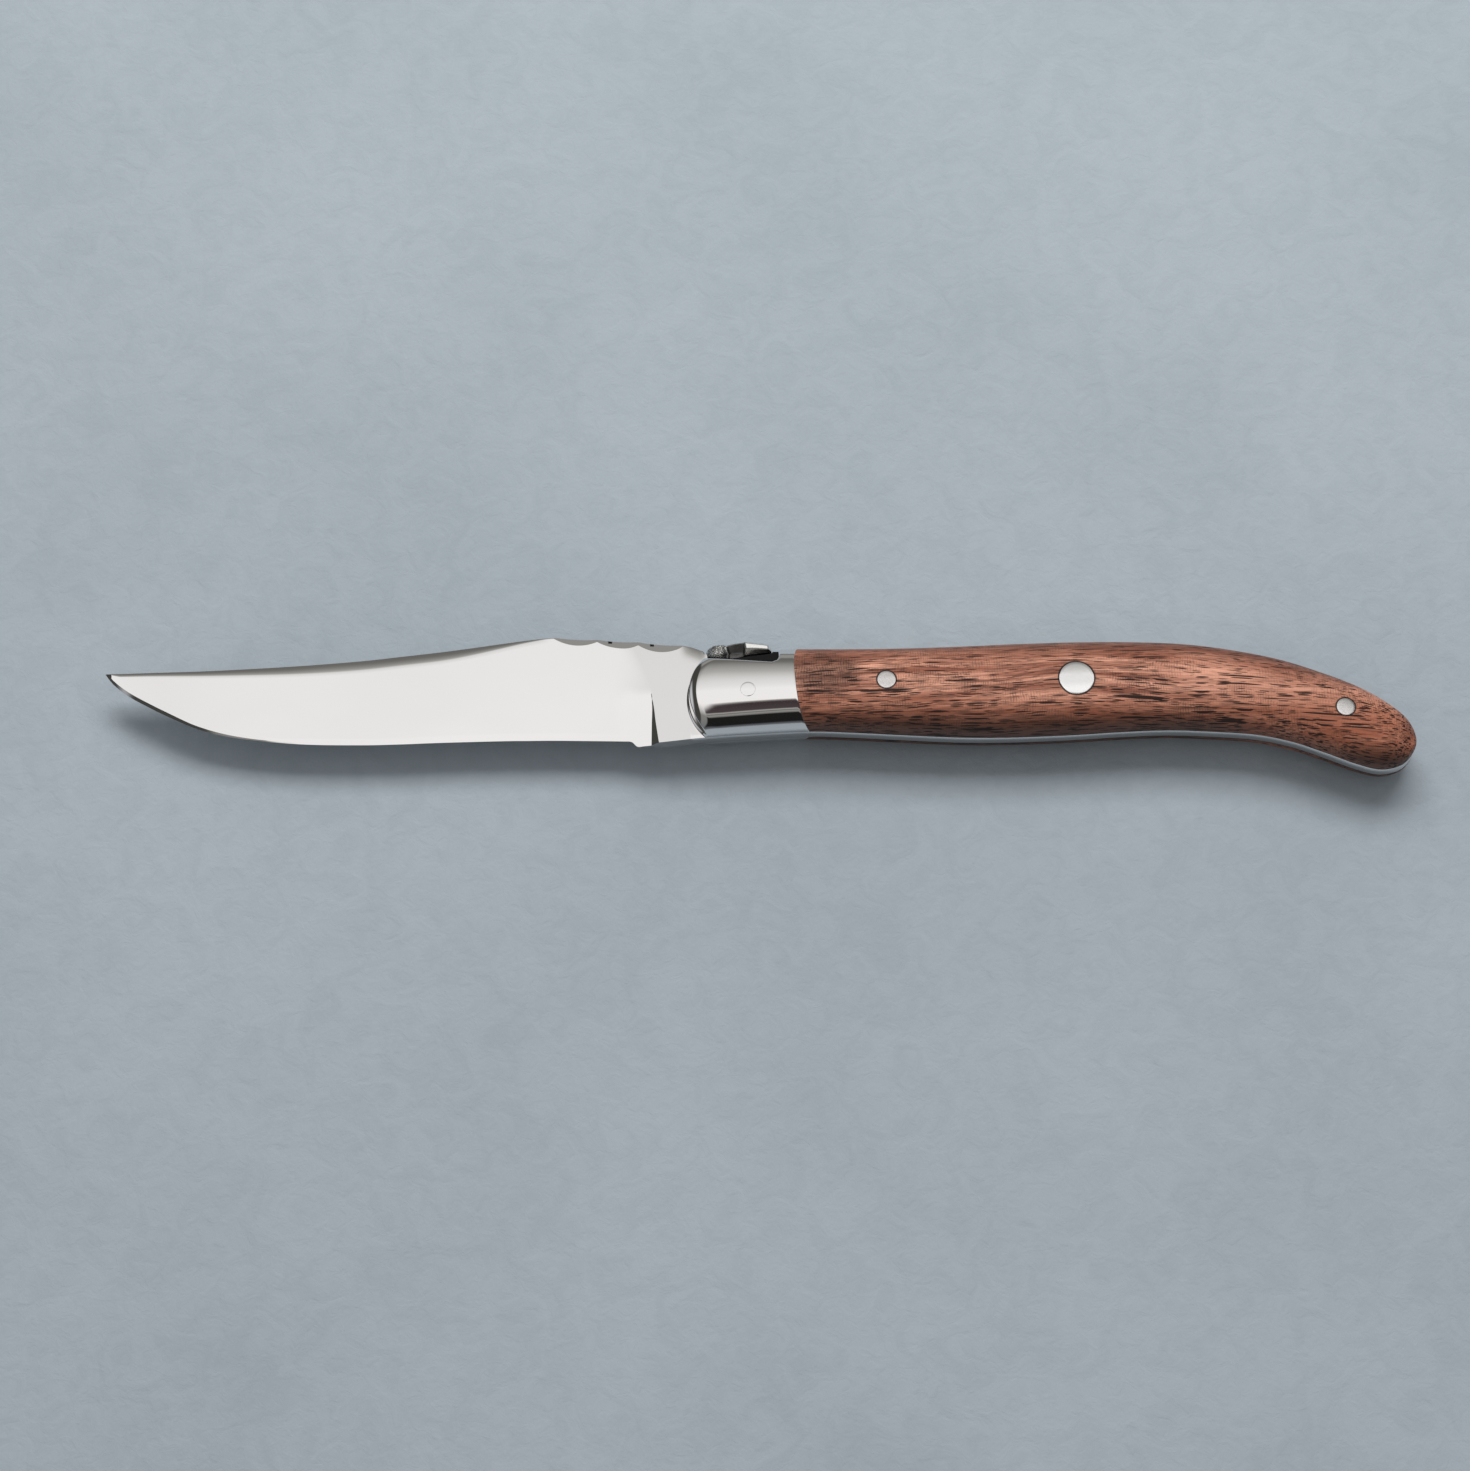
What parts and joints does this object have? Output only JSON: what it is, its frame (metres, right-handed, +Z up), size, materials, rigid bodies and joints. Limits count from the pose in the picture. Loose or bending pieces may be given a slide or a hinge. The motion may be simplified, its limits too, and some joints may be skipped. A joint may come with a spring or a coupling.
{
  "type": "steak knife",
  "caption": "Full tang steak knife with a pointed swept blade, file-worked spine, round steel bolsters and a curved wooden handle with a hooked butt.",
  "frame": {"origin": "middle of the footprint, on the surface that the knife lies on with its left side down", "axes": "+X from tip to butt, +Y from cutting edge to spine, +Z up through the thickness"},
  "size_m": [0.23, 0.0252, 0.0131],
  "materials": {
    "polished_blade": "stainless steel polished to a mirror",
    "polished_bolster": "stainless steel polished to a mirror",
    "forged_cap": "forged steel with bright facets and a stippled head",
    "ground_pin": "steel ground flush with fine scratches",
    "polished_rivet": "bright satin steel",
    "oiled_wood": "reddish brown hardwood with dark pores, oiled to a satin sheen"
  },
  "bodies": {
    "root": {"blade": "polished_blade", "spine_cap": "forged_cap", "bolster_left": "polished_bolster", "bolster_right": "polished_bolster", "bolster_pin": "polished_bolster", "scale_left": "oiled_wood", "scale_right": "oiled_wood", "front_pin": "ground_pin", "rivet_male": "polished_rivet", "rivet_female": "polished_rivet", "rear_pin": "ground_pin"}
  },
  "joints": []
}
